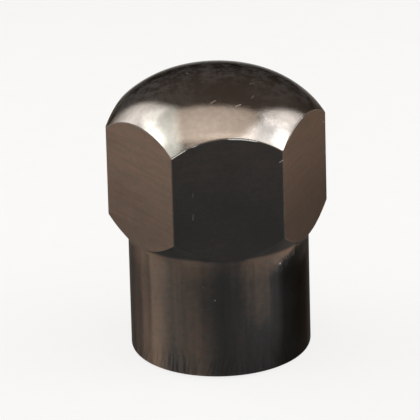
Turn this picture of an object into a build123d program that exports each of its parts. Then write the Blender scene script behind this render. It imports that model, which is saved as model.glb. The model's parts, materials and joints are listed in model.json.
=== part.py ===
from build123d import *
import os
from math import asin, cos, pi, radians, sin, tan

# A hexagonal metal valve cap with a rubber seal inside, in millimetres.
# It stands on its open mouth: the origin is the centre of the mouth's rim and +Z runs up the axis
# to the dome. One pair of the hexagon's flats faces -Y and +Y.

# Head: a hexagonal bar with a dome turned on its top and a cone turned on its underside
across_flats = 10.0
overall_height = 15.3
crown_radius = 8.5  # the flatter middle of the dome
crown_diameter = 6.4  # where the crown runs into the shoulder
shoulder_radius = 5.7  # the rounder edge of the dome
neck_cone_angle = 53.5  # degrees from the horizontal
bar_corner_radius = 0.15  # the bar's six upright edges

# Collar: the round skirt below the head
collar_setback = 0.275  # how far it lies inside the flats
collar_height = 6.35
neck_fillet = 0.5
rim_fillet = 0.25

# Stem thread: the tyre valve thread 8V1, left as a plain bore of its minor diameter
thread_major_diameter = 7.75
thread_pitch = 0.794
thread_depth_per_pitch = 1.0825  # on the diameter, for a 60 degree internal thread
thread_end_height = 9.3
countersink_diameter = 8.2  # at the mouth, with a 45 degree side

# Seal seat: an undercut above the thread that traps the washer
seat_diameter = 7.9
seat_depth = 2.1

# Seal: a rubber washer, its hole clear of the valve core's pin
seal_thickness = 1.5
seal_hole_diameter = 3.0
seal_clearance = 0.05  # all round, in the seat

# Sizes that follow from those above
collar_radius = across_flats / 2 - collar_setback
thread_minor_radius = (thread_major_diameter - thread_depth_per_pitch * thread_pitch) / 2
countersink_radius = countersink_diameter / 2
seat_radius = seat_diameter / 2
seat_roof_height = thread_end_height + seat_depth
seal_radius = seat_radius - seal_clearance


def turned(section):
    """A section drawn through the middle of a flat, turned once round the cap's axis."""
    return revolve(section.sketch, Axis.Z)


def hexagonal_bar():
    """The bar stock, as long as the cap."""
    hexagon = RegularPolygon(across_flats / 2, 6, major_radius=False)
    return extrude(fillet(hexagon.vertices(), bar_corner_radius), overall_height)


def dome_blank():
    """All that lies under the dome: the crown, tangent to the shoulder, then straight down."""
    crown_angle = asin(crown_diameter / 2 / crown_radius)
    crown_centre = overall_height - crown_radius
    centre_gap = crown_radius - shoulder_radius
    shoulder_x = centre_gap * sin(crown_angle)
    shoulder_z = crown_centre + centre_gap * cos(crown_angle)

    def on_crown(angle):
        return (crown_radius * sin(angle), crown_centre + crown_radius * cos(angle))

    def on_shoulder(angle):
        return (shoulder_x + shoulder_radius * sin(angle), shoulder_z + shoulder_radius * cos(angle))

    widest = on_shoulder(pi / 2)
    with BuildSketch(Plane.YZ) as section:
        with BuildLine():
            ThreePointArc(on_crown(0), on_crown(crown_angle / 2), on_crown(crown_angle))
            ThreePointArc(on_shoulder(crown_angle), on_shoulder((crown_angle + pi / 2) / 2), widest)
            Polyline(widest, (widest[0], 0), (0, 0), on_crown(0))
        make_face()
    return turned(section)


def neck_blank():
    """All that lies above the cone that runs out from the collar's top."""
    cone_rise = overall_height - collar_height
    cone_top = collar_radius + cone_rise / tan(radians(neck_cone_angle))
    with BuildSketch(Plane.YZ) as section:
        with BuildLine():
            Polyline(
                (0, collar_height),
                (collar_radius, collar_height),
                (cone_top, overall_height),
                (0, overall_height),
                close=True,
            )
        make_face()
    return turned(section)


def upright(radius, low, high, top_radius=None):
    """A cylinder, or a cone with another radius at its top, between two heights on the axis."""
    place = Pos(0, 0, low)
    on_base = (Align.CENTER, Align.CENTER, Align.MIN)
    if top_radius is None:
        return place * Cylinder(radius, high - low, align=on_base)
    return place * Cone(radius, top_radius, high - low, align=on_base)


def outside():
    """The cap's outer form. The dome and the cone cut the flats in crisp arcs, as a lathe leaves them."""
    form = (hexagonal_bar() & dome_blank() & neck_blank()) + upright(collar_radius, 0, collar_height)
    rings = form.edges().filter_by(GeomType.CIRCLE)
    form = fillet(rings.filter_by_position(Axis.Z, collar_height, collar_height), neck_fillet)
    rings = form.edges().filter_by(GeomType.CIRCLE)
    return fillet(rings.filter_by_position(Axis.Z, 0, 0), rim_fillet)


def inside():
    """What is bored out: the countersunk mouth, the thread's bore and the wider seat of the seal."""
    countersink_depth = countersink_radius - thread_minor_radius
    mouth = upright(countersink_radius, 0, countersink_depth, thread_minor_radius)
    bore = upright(thread_minor_radius, 0, thread_end_height)
    seat = upright(seat_radius, thread_end_height, seat_roof_height)
    return mouth + bore + seat


def cap_body():
    """The turned and bored metal cap, one piece."""
    return outside() - inside()


def seal_washer():
    """The rubber washer, cut square from sheet and seated on the roof of the seat."""
    low = seat_roof_height - seal_thickness
    hole = upright(seal_hole_diameter / 2, low, seat_roof_height)
    return upright(seal_radius, low, seat_roof_height) - hole


os.makedirs("parts", exist_ok=True)
export_step(cap_body(), "parts/cap_body.step")
export_step(seal_washer(), "parts/seal_washer.step")
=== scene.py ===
import json
import math
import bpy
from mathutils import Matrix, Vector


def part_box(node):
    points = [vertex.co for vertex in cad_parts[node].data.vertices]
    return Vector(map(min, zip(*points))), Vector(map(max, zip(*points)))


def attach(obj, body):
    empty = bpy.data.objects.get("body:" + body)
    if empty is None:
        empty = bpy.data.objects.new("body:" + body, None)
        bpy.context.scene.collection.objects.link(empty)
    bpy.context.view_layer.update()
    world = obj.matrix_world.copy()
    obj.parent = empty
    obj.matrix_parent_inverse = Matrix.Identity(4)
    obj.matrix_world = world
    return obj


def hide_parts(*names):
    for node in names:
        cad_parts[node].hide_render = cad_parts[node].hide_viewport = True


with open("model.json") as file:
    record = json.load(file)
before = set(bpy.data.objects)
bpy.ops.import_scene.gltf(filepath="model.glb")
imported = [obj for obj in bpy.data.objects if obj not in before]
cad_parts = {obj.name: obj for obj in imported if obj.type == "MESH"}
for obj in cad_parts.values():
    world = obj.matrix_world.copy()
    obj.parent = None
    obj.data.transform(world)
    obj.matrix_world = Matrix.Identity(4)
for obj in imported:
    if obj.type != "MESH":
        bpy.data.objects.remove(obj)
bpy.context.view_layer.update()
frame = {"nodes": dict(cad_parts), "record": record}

from types import SimpleNamespace

import bpy
import numpy as np
from mathutils import Matrix, Vector

mm = 0.001
print("frame loaded:", ", ".join(sorted(frame["nodes"])))


# Reading the frame

bodyLow, bodyHigh = (np.array(corner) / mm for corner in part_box("cap_body"))
washerLow, washerHigh = (np.array(corner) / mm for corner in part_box("seal_washer"))
mounts = {mount["name"]: mount for mount in frame["record"]["mounts"]}


# Meshes from grids of points

weldSteps = 1e6  # to the millimetre: points on the same step are one point


def gridMesh(name, points, attributes, material):
    # points[i, j] is row i and column j, in millimetres. Equal points are welded, which closes seams and
    # poles. Rows run down the outside and columns anticlockwise, so that each face looks outwards.
    rows, cols = points.shape[:2]
    spots = points.reshape(-1, 3)
    keys = np.round(spots * weldSteps).astype(np.int64)
    _, first, welded = np.unique(keys, axis=0, return_index=True, return_inverse=True)
    index = welded.reshape(rows, cols)
    around = [index[:-1, :-1], index[1:, :-1], index[1:, 1:], index[:-1, 1:]]
    quads = np.stack(around, axis=-1).reshape(-1, 4)
    kept = quads != np.roll(quads, -1, axis=1)
    corners = kept.sum(axis=1)
    fours = quads[corners == 4]
    threes = quads[corners == 3][kept[corners == 3]].reshape(-1, 3)
    mesh = bpy.data.meshes.new(name)
    mesh.from_pydata(spots[first] * mm, [], fours.tolist() + threes.tolist())
    for label, values in attributes.items():
        layer = mesh.attributes.new(label, "FLOAT", "POINT")
        weights = np.broadcast_to(values, (rows, cols)).reshape(-1)[first]
        layer.data.foreach_set("value", weights.astype(np.float32))
    mesh.shade_smooth()
    mesh.materials.append(material)
    mesh.validate()
    piece = bpy.data.objects.new(name, mesh)
    bpy.context.scene.collection.objects.link(piece)
    print(name, "has", len(fours) * 2 + len(threes), "triangles")
    return piece


def arcRows(centreR, centreZ, radius, start, end, count):
    # A circular arc in the plane of the axis: radius times (sin t, cos t) about its centre
    t = start + (end - start) * np.linspace(0, 1, count)[:, None]
    return centreR + radius * np.sin(t), centreZ + radius * np.cos(t)


def lineRows(startR, startZ, endR, endZ, shares):
    # Points at the given shares of the way along a straight line
    share = np.asarray(shares)[:, None]
    return startR + (endR - startR) * share, startZ + (endZ - startZ) * share


def turned(radius, height, theta):
    # Rows of radius and height, carried once round the axis. The last column is the first one again.
    cosine = np.append(np.cos(theta[:-1]), 1.0)
    sine = np.append(np.sin(theta[:-1]), 0.0)
    return np.stack([radius * cosine, radius * sine, height + 0 * cosine], axis=-1)


# Shader maths

class Wire:
    # One output of a node. Arithmetic on wires adds Math nodes, and any other node is added by node().
    def __init__(self, tree, socket):
        self.tree = tree
        self.socket = socket

    def node(self, kind, settings, inputs, output=0):
        made = self.tree.nodes.new(kind)
        for name, value in settings.items():
            if name == "stops":
                setStops(made.color_ramp, value)
            else:
                setattr(made, name, value)
        feed(made, inputs)
        return Wire(self.tree, made.outputs[output])

    def other(self, output):
        # Another output of the node that this wire comes from
        return Wire(self.tree, self.socket.node.outputs[output])

    def math(self, operation, first, second):
        return self.node("ShaderNodeMath", {"operation": operation}, {0: first, 1: second})

    def __add__(self, other):
        return self.math("ADD", self, other)

    def __radd__(self, other):
        return self.math("ADD", other, self)

    def __sub__(self, other):
        return self.math("SUBTRACT", self, other)

    def __rsub__(self, other):
        return self.math("SUBTRACT", other, self)

    def __mul__(self, other):
        return self.math("MULTIPLY", self, other)

    def __rmul__(self, other):
        return self.math("MULTIPLY", other, self)

    def __truediv__(self, other):
        return self.math("DIVIDE", self, other)

    def __rtruediv__(self, other):
        return self.math("DIVIDE", other, self)

    def most(self, other):
        return self.math("MAXIMUM", self, other)

    def swing(self, amount):
        # How far a pattern is from its middle, times the amount
        return (self - 0.5) * amount

    def vector(self, operation, inputs, output=0):
        return self.node("ShaderNodeVectorMath", {"operation": operation}, {0: self, **inputs}, output)

    def ramp(self, low, high, start=0.0, end=1.0):
        # Runs smoothly from start to end while this value goes from low to high
        values = {"Value": self, "From Min": low, "From Max": high, "To Min": start, "To Max": end}
        return self.node("ShaderNodeMapRange", {"interpolation_type": "SMOOTHSTEP"}, values)

    def blend(self, first, second):
        # A colour between the two, by this value
        return self.node("ShaderNodeMix", {"data_type": "RGBA"}, {0: self, 6: first, 7: second}, 2)

    def tint(self, colour):
        # This colour times another
        settings = {"data_type": "RGBA", "blend_type": "MULTIPLY"}
        return self.node("ShaderNodeMix", settings, {0: 1.0, 6: self, 7: colour}, 2)

    def bump(self, depth):
        # A normal that takes this value for a height, at this depth in metres
        return self.node("ShaderNodeBump", {}, {"Strength": 1.0, "Distance": depth, "Height": self})


def setStops(colourRamp, stops):
    elements = colourRamp.elements
    while len(elements) < len(stops):
        elements.new(1.0)
    for element, (position, colour) in zip(elements, stops):
        element.position = position
        element.color = colour


def feed(node, inputs):
    # Sets a node's own sockets, or links what changes over the surface
    for name, value in inputs.items():
        if isinstance(value, Wire):
            value.tree.links.new(value.socket, node.inputs[name])
        else:
            node.inputs[name].default_value = value


def startMaterial(name):
    # A material with its principled shader, and the place on the piece in millimetres
    material = bpy.data.materials.new(name)
    material.use_nodes = True
    tree = material.node_tree
    shader = tree.nodes["Principled BSDF"]
    start = Wire(tree, None)
    place = start.node("ShaderNodeTexCoord", {}, {}, "Object").vector("SCALE", {"Scale": 1 / mm})
    return material, shader, place


def showMix(shader, second, share):
    # Shows the material's own shader mixed with a second one, by the second one's share
    tree = share.tree
    own = Wire(tree, shader.outputs[0])
    mixed = share.node("ShaderNodeMixShader", {}, {0: share, 1: own, 2: second})
    tree.links.new(mixed.socket, tree.nodes["Material Output"].inputs["Surface"])


def stretched(place, scales):
    # The place with each axis scaled, which draws a pattern out along the axes with small scales
    return place.vector("MULTIPLY", {1: scales})


def noise(place, scale, detail, roughness):
    values = {"Vector": place, "Scale": scale, "Detail": detail, "Roughness": roughness}
    return place.node("ShaderNodeTexNoise", {}, values)


def zone(place, label):
    # One of the zones that the mesh carries as an attribute
    return place.node("ShaderNodeAttribute", {"attribute_name": label}, {}, "Fac")


# The metal cap

cap = {
    "height": bodyHigh[2],
    "acrossFlats": bodyHigh[1] - bodyLow[1],
    "crownRadius": 8.5,
    "crownDiameter": 6.4,
    "shoulderRadius": 5.7,
    "cornerRadius": 0.15,
    "edgeRadius": 0.06,
    # Where the head's top edge is rubbed: wider and painted pale, partly as wear and partly as painted
    # glints along the arcs. From and to, in degrees round from the front, and how much
    "rubsAndPaintedGlints": [
        (-128, -117, 0.7), (-30, -23.5, 1), (-19.6, -17.4, 0.7), (0.7, 17, 1), (36, 58, 0.8),
        (100, 112, 0.8), (152, 166, 0.6),
    ],
    "rubFade": (0.8, 0.3),  # degrees outside and inside a rub's ends over which it fades
    "rubWidening": 1.6,
    "coneAngle": math.radians(53.5),
    "collarSetback": 0.275,
    "collarHeight": 6.35,
    "neckFillet": 0.5,
    "rimFillet": 0.25,
    "mouthRadius": 4.1,
    "threadMinorRadius": mounts["stem_thread"]["dims"]["r_mm"],
    "threadMajorRadius": 3.875,
    "threadPitch": 0.794,
    "threadCrest": 0.25,  # the widths of its flats, as shares of the pitch
    "threadRoot": 0.125,
    "threadStart": 0.2,
    "threadEnd": 9.3,
    "seatRadius": 3.95,
    "roofHeight": washerHigh[2],
    # Columns over each corner and each flat, and the degrees between the two sets
    "cornerColumns": 9,
    "flatColumns": 29,
    "besideCorner": 0.15,
    "besideFlat": 0.7,
    # Rows down each stretch of the skin: how many, or the shares of the way at which they lie
    "domeRows": 30,
    "topEdgeRows": 8,
    "flatRows": [0.004, 0.02, 0.1, 0.3, 0.5, 0.7, 0.9, 0.98, 0.996],
    "lowEdgeRows": 6,
    "coneRows": [0.02, 0.2, 0.5, 0.8, 0.97],
    "neckRows": 7,
    "collarRows": [0.01, 0.1, 0.25, 0.4, 0.55, 0.7, 0.85, 0.95, 0.99],
    "rimRows": 8,
    "footRows": [0.1, 0.5, 0.9, 1],
    "countersinkRows": [0.1, 0.5, 0.9],
    "threadRows": [  # over each pitch
        0, 0.02, 0.125, 0.23, 0.25, 0.27, 0.41, 0.54, 0.5625, 0.585, 0.665, 0.6875, 0.71, 0.85, 0.98,
    ],
    "seatRows": [0, 0.02, 0.5, 0.98, 1],
    "roofRows": [0.02, 0.5, 0.97, 1],
}
capZones = ("dome", "flat", "neck", "collar", "bore", "wear")
flatTurn = 60  # degrees round that each flat takes up
halfFlat = math.radians(flatTurn / 2)


def cornerCircle():
    # The small circle that rounds a corner: how far its centre lies from the axis, and the angle about the
    # axis from the corner to where the circle runs into the flat
    rounding = cap["cornerRadius"]
    centre = (cap["acrossFlats"] / 2 - rounding) / math.cos(halfFlat)
    return centre, math.atan2(rounding / 2, centre + rounding * math.cos(halfFlat))


def capColumns():
    # Angles round the axis, close together over the six rounded corners, at multiples of 60 degrees
    begin = math.degrees(cornerCircle()[1])
    end = flatTurn - begin
    corner = np.linspace(-begin, begin, cap["cornerColumns"])
    beside = [begin + cap["besideCorner"], end - cap["besideCorner"]]
    flat = np.linspace(begin + cap["besideFlat"], end - cap["besideFlat"], cap["flatColumns"])
    sector = np.concatenate([corner, beside, flat])
    angles = (sector[None, :] + flatTurn * np.arange(6)[:, None]).reshape(-1) % 360
    return np.radians(np.append(np.sort(angles), 360.0))


def hexRadius(theta):
    # Distance from the axis to a hexagon with rounded corners: a straight flat, or the corner's own circle
    centre, tangent = cornerCircle()
    fromCorner = np.abs((theta + halfFlat) % (2 * halfFlat) - halfFlat)
    flat = cap["acrossFlats"] / 2 / np.cos(halfFlat - fromCorner)
    inside = np.maximum(cap["cornerRadius"] ** 2 - (centre * np.sin(fromCorner)) ** 2, 0)
    corner = centre * np.cos(fromCorner) + np.sqrt(inside)
    return np.where(fromCorner < tangent, corner, flat)


def domeSurface(radius):
    # Height and tilt of the dome: a crown arc centred on the axis, then a rounder shoulder arc tangent to it
    crownAngle = math.asin(cap["crownDiameter"] / 2 / cap["crownRadius"])
    crownCentre = cap["height"] - cap["crownRadius"]
    gap = cap["crownRadius"] - cap["shoulderRadius"]
    shoulderR = gap * math.sin(crownAngle)
    shoulderZ = crownCentre + gap * math.cos(crownAngle)
    onCrown = radius < cap["crownDiameter"] / 2
    arcRadius = np.where(onCrown, cap["crownRadius"], cap["shoulderRadius"])
    tilt = np.arcsin((radius - np.where(onCrown, 0, shoulderR)) / arcRadius)
    return np.where(onCrown, crownCentre, shoulderZ) + arcRadius * np.cos(tilt), tilt


def rubAndPaintedGlintSteps():
    # The strength of each rub over its length, and none between them
    outside, inside = cap["rubFade"]
    steps = []
    for begin, finish, strength in cap["rubsAndPaintedGlints"]:
        steps += [(begin - outside, 0), (begin + inside, strength)]
        steps += [(finish - inside, strength), (finish + outside, 0)]
    return steps


def topEdgeRadius(theta):
    # The rounding of the head's top edge, wider where it is rubbed. turn is 0 at the front, which faces -Y.
    turn = (np.degrees(theta) + 270) % 360 - 180
    degrees, strength = zip(*rubAndPaintedGlintSteps())
    return cap["edgeRadius"] * (1 + cap["rubWidening"] * np.interp(turn, degrees, strength))


def threadSurface(theta):
    # Right-hand thread: along a row the height rises by one pitch per turn, and the radius follows a profile
    # of 60 degrees with a flat crest and a flat root. The countersink cuts into its first turns.
    pitch = cap["threadPitch"]
    low = cap["threadStart"]
    high = cap["threadEnd"]
    minor = cap["threadMinorRadius"]
    major = cap["threadMajorRadius"]
    crest = cap["threadCrest"]
    flank = (1 - crest - cap["threadRoot"]) / 2
    turns = np.arange(-1, math.ceil(high / pitch) + 1)
    phases = (turns[:, None] + np.array(cap["threadRows"])[None, :]).reshape(-1, 1)
    height = np.clip(pitch * (phases + theta / (2 * math.pi)), low, high)
    place = (height / pitch - theta / (2 * math.pi)) % 1.0
    radius = np.interp(place, [0, crest, crest + flank, 1 - flank, 1], [minor, minor, major, major, minor])
    return np.maximum(radius, cap["mouthRadius"] - height), height


def capGrid():
    # One skin from the top of the dome, down the outside, round the rim and up the bore to the seat's roof
    theta = capColumns()
    hexR = hexRadius(theta)
    edge = cap["edgeRadius"]
    cone = cap["coneAngle"]
    collarR = cap["acrossFlats"] / 2 - cap["collarSetback"]
    coneTurn = math.pi - cone
    level = math.pi / 2  # where an arc faces straight out
    sections = []

    def add(rows, **weights):
        # One stretch of the skin, with its weight in the zones that it belongs to
        radius, height = (np.broadcast_to(part, (len(rows[0]), len(theta))) for part in rows)
        sections.append((radius, height, weights))

    edgeZ, tilt = domeSurface(hexR)
    top = topEdgeRadius(theta)
    topZ = edgeZ - top * (1 - np.sin(tilt)) / np.cos(tilt)
    domeR = (hexR - top + top * np.sin(tilt)) * np.linspace(0, 1, cap["domeRows"])[:, None]
    add((domeR, domeSurface(domeR)[0]), dome=1)
    edgeRows = arcRows(hexR - top, topZ, top, tilt, level, cap["topEdgeRows"])
    add([part[1:] for part in edgeRows], dome=0.5, flat=0.5, wear=1)  # its first row is the dome's last

    lowZ = cap["collarHeight"] + (hexR - collarR) * math.tan(cone)
    underZ = lowZ + edge * (1 - math.sin(coneTurn)) / -math.cos(coneTurn)
    add(lineRows(hexR, topZ, hexR, underZ, cap["flatRows"]), flat=1)
    add(arcRows(hexR - edge, underZ, edge, level, coneTurn, cap["lowEdgeRows"]), flat=1)

    fillet = cap["neckFillet"]
    neckZ = cap["collarHeight"] - fillet * (1 - math.sin(coneTurn)) / -math.cos(coneTurn)
    neckR, neckRowZ = arcRows(collarR + fillet, neckZ, -fillet, coneTurn, level, cap["neckRows"])
    coneTopR = hexR - edge + edge * math.sin(coneTurn)
    coneTopZ = underZ + edge * math.cos(coneTurn)
    add(lineRows(coneTopR, coneTopZ, neckR[0], neckRowZ[0], cap["coneRows"]), neck=1)
    add((neckR, neckRowZ), neck=0.5, collar=0.5)

    rim = cap["rimFillet"]
    add(lineRows(collarR, neckZ, collarR, rim, cap["collarRows"]), collar=1)
    add(arcRows(collarR - rim, rim, rim, level, math.pi, cap["rimRows"]), collar=1)
    mouth = cap["mouthRadius"]
    start = cap["threadStart"]
    add(lineRows(collarR - rim, 0, mouth, 0, cap["footRows"]), collar=1)
    add(lineRows(mouth, 0, mouth - start, start, cap["countersinkRows"]), bore=1)
    add(threadSurface(theta), bore=1)

    seat = cap["seatRadius"]
    roof = cap["roofHeight"]
    add(lineRows(seat, cap["threadEnd"], seat, roof, cap["seatRows"]), bore=1)
    add(lineRows(seat, roof, 0, roof, cap["roofRows"]), bore=1)

    radius = np.vstack([part[0] for part in sections])
    height = np.vstack([part[1] for part in sections])
    zones = {}
    for label in capZones:
        zones[label] = np.vstack([np.full(part[0].shape, part[2].get(label, 0.0)) for part in sections])
    return turned(radius, height, theta), zones


# The rubber washer

washer = {
    "outerRadius": washerHigh[0],
    "innerRadius": 1.5,
    "low": washerLow[2],
    "high": washerHigh[2],
    "edgeRadius": 0.12,
    # The ring that the stem's end has pressed into its lower face
    "ringRadius": 2.75,
    "ringHalfWidth": 0.4,
    "ringDepth": 0.09,
    "columns": 120,
    "edgeRows": 5,
    "ringRows": 15,
}


def washerGrid():
    # A closed section with rounded corners and a shallow cosine groove below, turned round the axis
    edge = washer["edgeRadius"]
    outer = washer["outerRadius"] - edge
    inner = washer["innerRadius"] + edge
    low = washer["low"]
    high = washer["high"]
    count = washer["edgeRows"]
    quarter = math.pi / 2
    across = np.linspace(1, -1, washer["ringRows"])[:, None]
    ringR = washer["ringRadius"] + washer["ringHalfWidth"] * across
    ringZ = low + washer["ringDepth"] * (0.5 + 0.5 * np.cos(math.pi * across))
    stretches = [
        arcRows(outer, high - edge, edge, 0, quarter, count),
        arcRows(outer, low + edge, edge, quarter, 2 * quarter, count),
        (ringR, ringZ),
        arcRows(inner, low + edge, edge, 2 * quarter, 3 * quarter, count),
        arcRows(inner, high - edge, edge, 3 * quarter, 4 * quarter, count),
    ]
    radius = np.vstack([part[0] for part in stretches] + [stretches[0][0][:1]])
    height = np.vstack([part[1] for part in stretches] + [stretches[0][1][:1]])
    return turned(radius, height, np.linspace(0, 2 * math.pi, washer["columns"] + 1))


# Nickel plate

nickel = {
    "domeLight": (0.41, 0.37, 0.332, 1),
    "domeDull": (0.36, 0.317, 0.278, 1),
    "greenTint": (0.93, 1.01, 1.0, 1),
    "redTint": (1.08, 0.985, 0.965, 1),
    # Painted light and shade of the sides, from black painted shade through a grey film to a brown that is
    # partly tarnish and partly painted reflection
    "paintedShadeToBrown": [
        (0.0, (0.009, 0.009, 0.008, 1)),
        (0.35, (0.05, 0.0492, 0.0487, 1)),
        (1.0, (0.27, 0.19, 0.144, 1)),
    ],
    "boreLight": (0.42, 0.33, 0.18, 1),
    "boreDull": (0.17, 0.125, 0.075, 1),
    # Pale metal of nicks and rubbed edges, which on the edges also stands for painted glints
    "wornAndPaintedGlintColour": (0.92, 0.9, 0.86, 1),
    "domeRoughness": 0.075,
    "dullRoughness": 0.115,
    "sideRoughness": 0.46,
    "wornRoughness": 0.26,
    "nickRoughness": 0.6,
    "filmRoughness": 0.8,
    # How far lines smear a reflection, and how much of the glancing reflection is left: on the sides by the
    # tarnish, and on the dome darkened further as painted shade along its outline
    "sideSmear": 0.97,
    "domeSmear": 0.45,
    "smearTurn": 0.25,
    "sideEdgeTint": (0.45, 0.42, 0.4, 1),
    "domePaintedRimShade": (0.12, 0.11, 0.1, 1),

    # Each pattern: how many to the millimetre, the layers of detail in it, and how rough those are
    "patterns": {
        "lines": (1.0, 4.0, 0.75),
        "rings": (1.0, 3.0, 0.7),
        "streaks": (1.0, 3.0, 0.55),
        "cloud": (0.55, 3.0, 0.55),
        "mottle": (3.2, 3.0, 0.55),
        "grain": (11.0, 2.0, 0.6),
        "pebble": (24.0, 1.0, 0.5),
        "hue": (5.0, 2.0, 0.6),
        "patches": (1.5, 2.0, 0.5),
        "lean": (0.3, 0.0, 0.5),
        "scuffs": (1.0, 1.0, 0.5),
    },
    "lineScales": (0.3, 0.3, 5.5),
    "streakScales": (1.7, 1.7, 0.1),
    "ringsPerMm": 9,
    "ringDrift": 0.5,
    # Where clouds and mottles begin and end to dull the dome and the bore, and the clouds' share
    "domeDulling": ((0.36, 0.64), (0.32, 0.68), 0.35),
    "boreDulling": ((0.35, 0.65), (0.35, 0.65), 0.4),
    "hueRange": (0.32, 0.68),
    # How far each pattern changes the colour and the roughness
    "domeGrain": 0.5,
    "cloudBrown": 0.12,
    "grainBrown": 0.08,
    "dullRange": (0.1, 1),
    "ringRoughness": 0.08,
    "lineRoughness": 0.12,
    "mottleRoughness": 0.06,
    # The relief's depth in metres, and how many times as deep each of its patterns is
    "reliefDepth": 1.5e-6,
    "collarLineRelief": 0.4,
    "ringRelief": 0.8,
    "pebbleRelief": 2,
    "nickRelief": 3,

    # Each flat: the degrees round from the front to its middle, and how light its top and its bottom are
    # painted, which is painted reflection on the side flats and painted shade on the front one
    "flats": [
        (-180, 0.85, 0.72), (-120, 0.95, 0.8), (-60, 0.94, 0.77), (0, 0.39, 0.34), (60, 0.95, 0.65),
        (120, 0.92, 0.75), (180, 0.85, 0.72),
    ],
    "flatReach": 29.6,  # degrees from a flat's middle to the short step at its corner
    "flatHeights": (7.5, 13),
    "flatLines": 0.8,
    "flatMottle": 0.25,

    # How light the collar is painted, by degrees round from the front: bands of painted reflection and
    # painted shade
    "collar": [
        (-180, 0.75), (-150, 0.45), (-115, 0.65), (-80, 0.4), (-70, 0.5), (-61, 0.68), (-55, 0.86),
        (-48, 0.74), (-39, 0.5), (-28, 0.54), (-18, 0.46), (-5, 0.3), (7, 0.36), (17, 0.55), (26, 0.49),
        (32, 0.2), (38, 0.05), (48, 0.06), (60, 0.12), (78, 0.22), (105, 0.6), (140, 0.4), (180, 0.75),
    ],
    # How many times as light it is painted at its top and foot, and the heights over which that changes
    "collarTopPaintedLight": [
        (-180, 1.2), (-62, 1.2), (-50, 1.05), (-38, 1.1), (-22, 1.3), (0, 1.2), (15, 1.25), (26, 1.45),
        (40, 1.8), (51, 3), (57, 6), (64, 6), (72, 2.5), (100, 1.2), (180, 1.2),
    ],
    "collarTopHeights": (5.1, 6.2),
    "collarFootPaintedLight": [
        (-180, 0.9), (-75, 1), (-60, 1.2), (-50, 1.2), (-44, 0.95), (-36, 0.85), (-28, 1.05), (-20, 1.25),
        (-10, 1.05), (6, 0.82), (14, 0.62), (22, 0.45), (28, 0.5), (36, 1.1), (50, 1.1), (70, 0.9),
        (180, 0.9),
    ],
    "collarFootHeights": (0.2, 4.6),
    "collarStreaks": 0.6,
    "collarLines": 0.16,
    "collarMottle": 0.32,
    # How many degrees its bands wander, run on to the right at the top, and run back at the foot
    "bandWander": 16,
    "raggedness": 0.8,
    "runAtTop": 17,
    "runTopHeights": (5.2, 6.5),
    "runAtFoot": 7,
    "runFootHeights": (0.5, 2.5),
    "runBegins": (22, 45),
    "runEnds": (75, 110),
    # How scuffed its foot is, by degrees round from the front, and how the scuffs lie
    "scuffs": [
        (-90, 0.1), (-68, 0.7), (-36, 1), (-18, 0.4), (60, 0.1), (95, 0), (120, 0.8), (150, 0.2), (180, 0.1),
    ],
    "scuffRadius": 4.7,
    "scuffLean": 1.6,
    "scuffScales": (7, 0.5),
    "scuffRange": (0.45, 0.6),
    "scuffHeights": (0.3, 1.9),
    "scuffDark": 0.2,
    # The painted shade under the head's lower edge, between these heights
    "shadeHeights": (6.52, 6.85),
    "shadeDark": 0.52,

    # The film on the dome: the shares of patches, mottle, hue and grain, and where it begins and ends
    "filmShares": (0.4, 0.2, 0.25, 0.15),
    "filmRange": (0.43, 0.57),
    # By depth, which is negative in front of the axis: from and to, and then strength from and to
    "filmBlotches": (-3.2, 0.8, 0.45, 1),
    "filmHaze": (-2.4, -0.2, 0.05, 0.2),
    "filmBack": (0.2, 2, 1, 0.4),
    # Where it is wiped: in depth, from the left, to the right, and how much of it is gone
    "wipedDepths": (-1.9, -0.6),
    "wipedLeft": (-1.7, -0.3),
    "wipedRight": (1, 2.4),
    "wiped": 0.75,

    # Nicks on the dome: degrees round, radius, length, degrees off the ring through them, and how bright
    "domeNicks": [
        (-100, 1.41, 0.12, 20, 0.7), (53, 2.24, 0.3, -20, 0.45), (33, 3.05, 0.3, 25, 0.35),
        (-8, 2.98, 0.28, 38, 0.3), (14, 3.38, 0.3, 16, 0.4), (150, 2.6, 0.3, 30, 0.4),
        (-150, 3.6, 0.35, -25, 0.5),
    ],
    # Nicks on the flats: degrees round to the flat's middle, across it, height, length, degrees from
    # upright, and how bright
    "flatNicks": [
        (0, -1.83, 10.5, 0.2, 8, 0.06), (0, -1.85, 9.28, 0.3, 4, 0.08), (0, 2.77, 12.05, 0.18, 60, 0.35),
        (60, 2.55, 12.2, 0.08, 90, 0.5), (60, 2.75, 10.4, 0.2, 5, 0.4), (120, -0.9, 10.8, 0.3, 70, 0.3),
        (180, 1.2, 9.9, 0.3, 20, 0.25), (-120, 0.4, 9.4, 0.26, 85, 0.3),
    ],
    # Nicks on the collar: degrees round, height, length, degrees from upright, and how bright
    "collarNicks": [
        (35.5, 5.88, 0.04, 0, 0.8), (-9.6, 4.4, 0.03, 0, 0.22), (-17, 5.12, 0.05, 85, 0.06),
        (150, 3.2, 0.3, 40, 0.3),
    ],
    "nickWidth": 0.045,
    "nickCore": 0.3,  # the share of its width that has the full strength
    # How patchy the rubbed edges are: mottle from and to, and strength from and to
    "rubPatches": (0.36, 0.46, 0.35, 1),
}


def rampRound(degrees, shades):
    # A value that follows a list of (degrees round from the front, value)
    stops = [(at / 360 + 0.5, (shade, shade, shade, 1)) for at, shade in shades]
    grey = degrees.node("ShaderNodeValToRGB", {"stops": stops}, {"Fac": degrees / 360 + 0.5})
    return grey.node("ShaderNodeRGBToBW", {}, {0: grey})


def flatSteps(column):
    # One value over each flat, with a short step at each corner
    reach = nickel["flatReach"]
    steps = []
    for flat in nickel["flats"]:
        steps += [(flat[0] - reach, flat[column]), (flat[0] + reach, flat[column])]
    return steps[1:-1]


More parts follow.
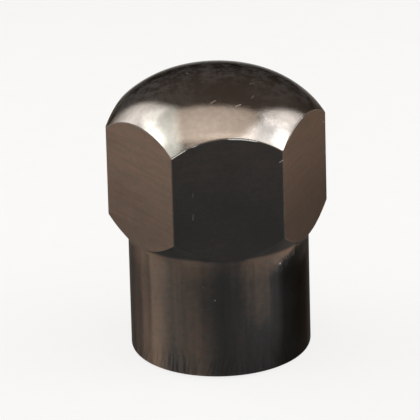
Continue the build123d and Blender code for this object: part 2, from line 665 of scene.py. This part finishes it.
def nickMask(place, middle, run, strength):
    # The strength on a short line of the given run through its middle, falling to 0 over the nick's width
    away = place.vector("SUBTRACT", {1: middle - run / 2})
    share = away.vector("DOT_PRODUCT", {1: run / run.length_squared}, "Value")
    share = share.node("ShaderNodeClamp", {}, {"Value": share})
    nearest = share.node("ShaderNodeVectorMath", {"operation": "SCALE"}, {0: run, "Scale": share})
    distance = away.vector("SUBTRACT", {1: nearest}).vector("LENGTH", {}, "Value")
    return distance.ramp(nickel["nickWidth"] * nickel["nickCore"], nickel["nickWidth"], strength, 0)


def nickLines():
    # The middle, run and strength of each nick, as vectors in millimetres
    lines = []

    def add(turn, radius, across, height, tilt, length, lean, strength):
        # tilt is how far the surface leans back from upright, and lean turns the nick from upright to level
        turn = math.radians(turn)
        lean = math.radians(lean)
        out = Vector((math.sin(turn), -math.cos(turn), 0))
        side = Vector((math.cos(turn), math.sin(turn), 0))
        rise = Vector((0, 0, math.cos(tilt))) - out * math.sin(tilt)
        run = (side * math.sin(lean) + rise * math.cos(lean)) * length
        lines.append((out * radius + side * across + Vector((0, 0, height)), run, strength))

    for turn, radius, length, offRing, strength in nickel["domeNicks"]:
        height, slope = (float(part) for part in domeSurface(np.array(radius)))
        add(turn, radius, 0, height, math.pi / 2 - slope, length, 90 - offRing, strength)
    flatR = cap["acrossFlats"] / 2
    for turn, across, height, length, lean, strength in nickel["flatNicks"]:
        add(turn, flatR, across, height, 0, length, lean, strength)
    collarR = flatR - cap["collarSetback"]
    for turn, height, length, lean, strength in nickel["collarNicks"]:
        add(turn, collarR, 0, height, 0, length, lean, strength)
    return lines


def allNicks(place):
    nicks, *others = [nickMask(place, *line) for line in nickLines()]
    for mask in others:
        nicks = nicks.most(mask)
    return nicks


def pattern(place, label):
    return noise(place, *nickel["patterns"][label])


def scuffPattern(skin):
    # Steep lines at the collar's foot that lean this way and that, fading out upwards
    lean = pattern(skin.place, "lean").swing(skin.height) * nickel["scuffLean"]
    arc = skin.turn * (math.pi / 180 * nickel["scuffRadius"]) + lean
    level, upright = nickel["scuffScales"]
    scuffPlace = arc.node("ShaderNodeCombineXYZ", {}, {0: arc * level, 1: skin.height * upright})
    scuffs = pattern(scuffPlace, "scuffs").ramp(*nickel["scuffRange"])
    return scuffs * skin.height.ramp(*nickel["scuffHeights"], 1, 0) * rampRound(skin.turn, nickel["scuffs"])


def plateSkin(place):
    # What the plate's shading reads: where a point lies, the zones that it is in, and the patterns there
    skin = SimpleNamespace(place=place)
    skin.across = place.node("ShaderNodeSeparateXYZ", {}, {0: place}, "X")
    skin.depth = skin.across.other("Y")
    skin.height = skin.across.other("Z")
    skin.radius = place.vector("MULTIPLY", {1: (1, 1, 0)}).vector("LENGTH", {}, "Value")
    skin.turn = skin.across.math("ARCTAN2", skin.across, 0 - skin.depth) * (180 / math.pi)
    for label in capZones:
        setattr(skin, label, zone(place, label))
    # Cloudy tarnish at several scales, a fine grain and a pebbled skin
    for label in ("cloud", "mottle", "grain", "pebble", "hue", "patches"):
        setattr(skin, label, pattern(place, label))
    # Brushed lines along the flats and turned lines round the collar: fine up and down, drawn out level
    skin.lines = pattern(stretched(place, nickel["lineScales"]), "lines")
    # Soft upright streaks down the collar
    skin.streaks = pattern(stretched(place, nickel["streakScales"]), "streaks")
    # Turned rings on the dome: fine along the radius
    drift = nickel["ringDrift"]
    ringPlace = {0: skin.radius * nickel["ringsPerMm"], 1: skin.across * drift, 2: skin.depth * drift}
    skin.rings = pattern(place.node("ShaderNodeCombineXYZ", {}, ringPlace), "rings")
    skin.scuffs = scuffPattern(skin)
    return skin


def dulling(skin, cloudRange, mottleRange, cloudShare):
    # From 0 to 1, in clouds and mottles
    return skin.cloud.ramp(*cloudRange) * cloudShare + skin.mottle.ramp(*mottleRange) * (1 - cloudShare)


def paintedFlatShading(skin):
    # How light the flats are painted, as painted reflection and painted shade: from each one's bottom to
    # its top, varied by the brushed lines and mottles
    top = rampRound(skin.turn, flatSteps(1))
    foot = rampRound(skin.turn, flatSteps(2))
    paintedLightAndTarnish = foot + (top - foot) * skin.height.ramp(*nickel["flatHeights"])
    varied = skin.lines.swing(paintedLightAndTarnish) * nickel["flatLines"] + skin.mottle.swing(nickel["flatMottle"]) + 1
    return paintedLightAndTarnish * varied


def paintedCollarShading(skin):
    # How light the collar is painted, as painted reflection and shade: upright bands that wander with the
    # streaks. Those at the right run on to the right towards the top and back to the left towards the foot.
    ragged = skin.height + skin.mottle.swing(nickel["raggedness"])
    onward = ragged.ramp(*nickel["runTopHeights"], 0, nickel["runAtTop"])
    backward = skin.height.ramp(*nickel["runFootHeights"], nickel["runAtFoot"], 0)
    atRight = skin.turn.ramp(*nickel["runBegins"]) * skin.turn.ramp(*nickel["runEnds"], 1, 0)
    band = skin.turn + skin.streaks.swing(nickel["bandWander"]) - (onward - backward) * atRight
    top = skin.height.ramp(*nickel["collarTopHeights"], 1, rampRound(skin.turn, nickel["collarTopPaintedLight"]))
    foot = skin.height.ramp(*nickel["collarFootHeights"], rampRound(skin.turn, nickel["collarFootPaintedLight"]), 1)
    varied = skin.streaks.swing(nickel["collarStreaks"]) + skin.lines.swing(nickel["collarLines"])
    varied = varied + skin.mottle.swing(nickel["collarMottle"]) + 1
    paintedLightAndTarnish = rampRound(band, nickel["collar"]) * top * foot * varied - skin.scuffs * nickel["scuffDark"]
    # Painted shade on the neck under the head's lower edge
    paintedShadeUnderHead = skin.neck * skin.height.ramp(*nickel["shadeHeights"])
    return paintedLightAndTarnish * (1 - paintedShadeUnderHead * nickel["shadeDark"])


def sideColour(skin):
    # Painted light and shade of the flats and the collar, with tarnish clouds and grain, through the ramp
    paintedLightAndTarnish = skin.flat * paintedFlatShading(skin) + (1 - skin.flat) * paintedCollarShading(skin)
    paintedLightAndTarnish = paintedLightAndTarnish + skin.cloud.swing(nickel["cloudBrown"]) + skin.grain.swing(nickel["grainBrown"])
    colour = paintedLightAndTarnish.node("ShaderNodeValToRGB", {"stops": nickel["paintedShadeToBrown"]}, {"Fac": paintedLightAndTarnish})
    return colour.tint(skin.hue.ramp(*nickel["hueRange"]).blend(nickel["greenTint"], nickel["redTint"]))


def domeFilm(skin):
    # A greasy film, which scatters a little light where the dome mirrors nothing: blotches on a haze,
    # thinner towards the front and the back, and mostly wiped off in front of the top
    patches, mottle, hue, grain = nickel["filmShares"]
    blotches = skin.patches * patches + skin.mottle * mottle + skin.hue * hue + skin.grain * grain
    film = blotches.ramp(*nickel["filmRange"]) * skin.depth.ramp(*nickel["filmBlotches"])
    film = (film + skin.depth.ramp(*nickel["filmHaze"])) * skin.depth.ramp(*nickel["filmBack"])
    wiped = skin.depth.ramp(*nickel["wipedDepths"], nickel["wiped"], 0)
    wiped = wiped * skin.across.ramp(*nickel["wipedLeft"]) * skin.across.ramp(*nickel["wipedRight"], 1, 0)
    return film * (1 - wiped)


def nickelMaterial():
    # The sides and the dome have a shader each, which differ in how they smear and fade a reflection
    material, shader, place = startMaterial("nickel_plate")
    skin = plateSkin(place)
    nicks = allNicks(place)
    # The rubbed top edges: wear that is also painted pale as glints along the arcs
    rubbedAndPaintedGlint = skin.wear * rampRound(skin.turn, rubAndPaintedGlintSteps()) * skin.mottle.ramp(*nickel["rubPatches"])

    dull = dulling(skin, *nickel["domeDulling"])
    domeColour = dull + skin.grain.swing(nickel["domeGrain"])
    domeColour = domeColour.blend(nickel["domeLight"], nickel["domeDull"])
    boreColour = dulling(skin, *nickel["boreDulling"]).blend(nickel["boreLight"], nickel["boreDull"])
    colour = skin.dome.blend(sideColour(skin), domeColour)
    colour = skin.bore.blend(colour, boreColour)
    colour = rubbedAndPaintedGlint.most(nicks).blend(colour, nickel["wornAndPaintedGlintColour"])

    domeRoughness = dull.ramp(*nickel["dullRange"], nickel["domeRoughness"], nickel["dullRoughness"])
    domeRoughness = domeRoughness + skin.rings.swing(nickel["ringRoughness"])
    sideRoughness = skin.lines.swing(nickel["lineRoughness"]) + skin.mottle.swing(nickel["mottleRoughness"])
    sideRoughness = sideRoughness + nickel["sideRoughness"]
    roughness = sideRoughness + skin.dome * (domeRoughness - sideRoughness)
    roughness = roughness + rubbedAndPaintedGlint * (nickel["wornRoughness"] - roughness)
    roughness = roughness + nicks * (nickel["nickRoughness"] - roughness)

    relief = skin.lines * (skin.flat + skin.collar * nickel["collarLineRelief"])
    relief = relief + (skin.rings * nickel["ringRelief"] + skin.pebble * nickel["pebbleRelief"]) * skin.dome
    relief = relief - nicks * nickel["nickRelief"]

    plate = {
        "Metallic": 1.0,
        "Base Color": colour,
        "Roughness": roughness,
        "Anisotropic Rotation": nickel["smearTurn"],
        "Normal": relief.bump(nickel["reliefDepth"]),
    }
    feed(shader, {**plate, "Anisotropic": nickel["sideSmear"], "Specular Tint": nickel["sideEdgeTint"]})
    domeShader = place.node("ShaderNodeBsdfPrincipled", {}, {
        **plate,
        "Anisotropic": nickel["domeSmear"],
        # the dome's glancing reflection darkened as painted shade along its outline
        "Specular Tint": nickel["domePaintedRimShade"],
        "Coat Weight": domeFilm(skin),
        "Coat Roughness": nickel["filmRoughness"],
    })
    showMix(shader, domeShader, skin.dome)
    return material


# Seal rubber

rubberLook = {
    "black": (0.014, 0.014, 0.015, 1),
    "bloom": (0.036, 0.035, 0.033, 1),
    "bloomPattern": (1.1, 4.0, 0.6),
    "bloomRange": (0.35, 0.7),
    "grainPattern": (9.0, 2.0, 0.6),
    "grainDepth": 6e-6,
    "lowRoughness": 0.5,
    "highRoughness": 0.75,
    "bloomRoughness": 0.7,  # the bloom's share in the roughness, and the grain has the rest
}


def rubberMaterial():
    # Black with a greyish bloom in clouds, and a fine pitted grain
    material, shader, place = startMaterial("seal_rubber")
    bloom = noise(place, *rubberLook["bloomPattern"]).ramp(*rubberLook["bloomRange"])
    grain = noise(place, *rubberLook["grainPattern"])
    share = rubberLook["bloomRoughness"]
    rough = bloom * share + grain * (1 - share)
    feed(shader, {
        "Base Color": bloom.blend(rubberLook["black"], rubberLook["bloom"]),
        "Roughness": rough.ramp(0, 1, rubberLook["lowRoughness"], rubberLook["highRoughness"]),
        "Normal": grain.bump(rubberLook["grainDepth"]),
    })
    return material


nickelPlate = nickelMaterial()
rubber = rubberMaterial()
print("nickel plate and rubber mixed")

points, zones = capGrid()
capPiece = gridMesh("valve_cap", points, zones, nickelPlate)
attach(capPiece, "root")
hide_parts("cap_body")

washerPiece = gridMesh("seal_ring", washerGrid(), {}, rubber)
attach(washerPiece, "root")
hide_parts("seal_washer")


# Floor

floor = {
    "radius": 600.0,
    "rings": 25,
    "columns": 96,
    "paper": (0.91, 0.91, 0.91, 1),
    "fibre": (0.87, 0.87, 0.865, 1),
    "fibrePattern": (0.6, 4.0, 0.65),
    "fibreRange": (0.3, 0.7),
    "lowRoughness": 0.85,
    "highRoughness": 0.95,
    "gloss": 0.1,
    "white": (1, 0.995, 0.985, 1),
    "ownWhite": 0.8,
}


def floorGrid():
    # A flat disc: rings about the axis, their radii growing with the square of the share
    radius = floor["radius"] * (np.linspace(0, 1, floor["rings"]) ** 2)[:, None]
    return turned(radius, 0 * radius, np.linspace(0, 2 * math.pi, floor["columns"] + 1))


def floorMaterial():
    # The paper shows by its own white to the camera and in reflections, and for the rest by the light on it
    material, shader, place = startMaterial("floor_paper")
    fibre = noise(place, *floor["fibrePattern"]).ramp(*floor["fibreRange"])
    feed(shader, {
        "Base Color": fibre.blend(floor["paper"], floor["fibre"]),
        "Roughness": fibre.ramp(0, 1, floor["lowRoughness"], floor["highRoughness"]),
        "Specular IOR Level": floor["gloss"],
    })
    camera = place.node("ShaderNodeLightPath", {}, {}, "Is Camera Ray")
    seen = camera.most(camera.other("Is Glossy Ray")).most(camera.other("Is Transmission Ray"))
    white = place.node("ShaderNodeEmission", {}, {"Color": floor["white"], "Strength": 1.0})
    showMix(shader, white, seen * floor["ownWhite"])
    return material


gridMesh("floor", floorGrid(), {}, floorMaterial())


# Lamps, in millimetres and degrees

lamps = {
    "left_panel": {
        "place": (-58, 3, 81), "target": (0, 0, 13), "along": (0.27, 0.96, 0.05), "size": (108, 42.5),
        "radiance": 2.05, "spread": 96, "colour": (0.9, 0.98, 0.97),
    },
    "left_core": {
        "place": (-63.2, 9.2, 63.4), "target": (0, 2, 12), "along": (0, 1, 0), "size": (44, 34),
        "radiance": 3.2, "spread": 60, "colour": (0.86, 0.94, 1),
    },
    "left_arm": {
        "place": (-56, 57, 54.5), "target": (0, 0, 13), "along": (-0.15, 0.455, -0.88), "size": (82, 38),
        "radiance": 2.3, "spread": 70, "colour": (0.95, 0.97, 1),
    },
    "right_panel": {
        "place": (55.2, -28.4, 80.4), "target": (0, 0, 13), "along": (0.31, 0.935, -0.16), "size": (86, 55),
        "radiance": 2.2, "spread": 96, "colour": (0.9, 0.95, 1),
    },
    "right_core": {
        "place": (67.6, -7, 55.4), "target": (0, 2, 12), "along": (0, 1, 0), "size": (44, 40),
        "radiance": 3.1, "spread": 60, "colour": (0.92, 0.96, 1),
    },
    "right_arm": {
        "place": (67, 26, 68), "target": (0, 0, 13), "along": (0.42, 0.43, -0.8), "size": (68, 26),
        "radiance": 2.1, "spread": 70, "colour": (0.97, 0.98, 1),
    },
    "top_panel": {
        "place": (3.5, 0.5, 83), "target": (16, 24, 6), "along": (0.99, -0.14, 0), "size": (77, 57),
        "radiance": 1.34, "spread": 130, "colour": (1, 0.9, 0.81),
    },
    "front_panel": {
        "place": (-3, -42, 86), "target": (0, 12, 8), "along": (1, 0, 0), "size": (78, 36),
        "radiance": 1.05, "spread": 90, "colour": (1, 0.9, 0.81),
    },
    "back_floor_lamp": {
        "place": (0, 50, 60), "target": (0, 50, 0), "along": (1, 0, 0), "size": (100, 24),
        "radiance": 4, "spread": 66, "colour": (1, 1, 1),
    },
    "left_floor_lamp": {
        "place": (-46, 10, 60), "target": (-42, 10, 0), "along": (0, 1, 0), "size": (60, 28),
        "radiance": 11, "spread": 54, "colour": (1, 0.98, 0.96),
    },
    "right_floor_lamp": {
        "place": (46, 14, 60), "target": (42, 14, 0), "along": (0, 1, 0), "size": (60, 28),
        "radiance": 6, "spread": 54, "colour": (1, 0.98, 0.96),
    },
}
surround = {"colour": (1, 0.8, 0.68, 1), "strength": 0.1}


def putUp(name, thing, place, right, up, back):
    # Stands a lamp or a camera at a place in millimetres, looking against its back
    holder = bpy.data.objects.new(name, thing)
    axes = Matrix((right, up, back)).transposed().to_4x4()
    holder.matrix_world = Matrix.Translation(place * mm) @ axes
    bpy.context.scene.collection.objects.link(holder)
    return holder


def addLamp(name, lamp):
    # A flat panel at its place, facing its target. The first of its sizes runs along, as far as that allows.
    # radiance is along the panel's axis: a narrower spread gathers the light, so the power is cut to match.
    half = math.radians(lamp["spread"]) / 2
    panel = bpy.data.lights.new(name, "AREA")
    panel.shape = "RECTANGLE"
    panel.size = lamp["size"][0] * mm
    panel.size_y = lamp["size"][1] * mm
    panel.spread = 2 * half
    panel.color = lamp["colour"]
    panel.energy = lamp["radiance"] * math.pi * panel.size * panel.size_y * (1 - half / math.tan(half))
    place = Vector(lamp["place"])
    back = (place - Vector(lamp["target"])).normalized()
    along = Vector(lamp["along"])
    along = (along - back * along.dot(back)).normalized()
    putUp(name, panel, place, along, back.cross(along), back)


def addSurround():
    # An even, dim and warm light from all round
    world = bpy.data.worlds.new("surround")
    world.use_nodes = True
    background = world.node_tree.nodes["Background"]
    background.inputs["Color"].default_value = surround["colour"]
    background.inputs["Strength"].default_value = surround["strength"]
    bpy.context.scene.world = world


for name, lamp in lamps.items():
    addLamp(name, lamp)
addSurround()
print("floor, lamps and surround placed")


# Camera

view = {
    "turn": math.radians(-6.267),
    "elevation": math.radians(22.515),
    "roll": math.radians(-1.5216),
    "distance": 300.0,
    "pixelsPerMm": 19.1122,
    "imageWidth": 420,
    "sensorWidth": 36.0,
    "aim": Vector((-0.41, 0.045, 7.5257)),
    "clip": (0.01, 10.0),  # in metres
}


def addCamera():
    # Looks at the aim from its distance, turned round the cap, raised, and rolled about its own axis
    turn = view["turn"]
    elevation = view["elevation"]
    roll = view["roll"]
    reach = math.cos(elevation)
    back = Vector((math.sin(turn) * reach, -math.cos(turn) * reach, math.sin(elevation)))
    level = Vector((math.cos(turn), math.sin(turn), 0))
    upright = back.cross(level)
    right = level * math.cos(roll) + upright * math.sin(roll)
    up = upright * math.cos(roll) - level * math.sin(roll)
    lens = bpy.data.cameras.new("camera")
    lens.sensor_width = view["sensorWidth"]
    lens.lens = view["sensorWidth"] * view["pixelsPerMm"] * view["distance"] / view["imageWidth"]
    lens.clip_start, lens.clip_end = view["clip"]
    place = view["aim"] + back * view["distance"]
    bpy.context.scene.camera = putUp("camera", lens, place, right, up, back)


addCamera()
bpy.context.scene.view_settings.view_transform = "Standard"
print("camera placed")
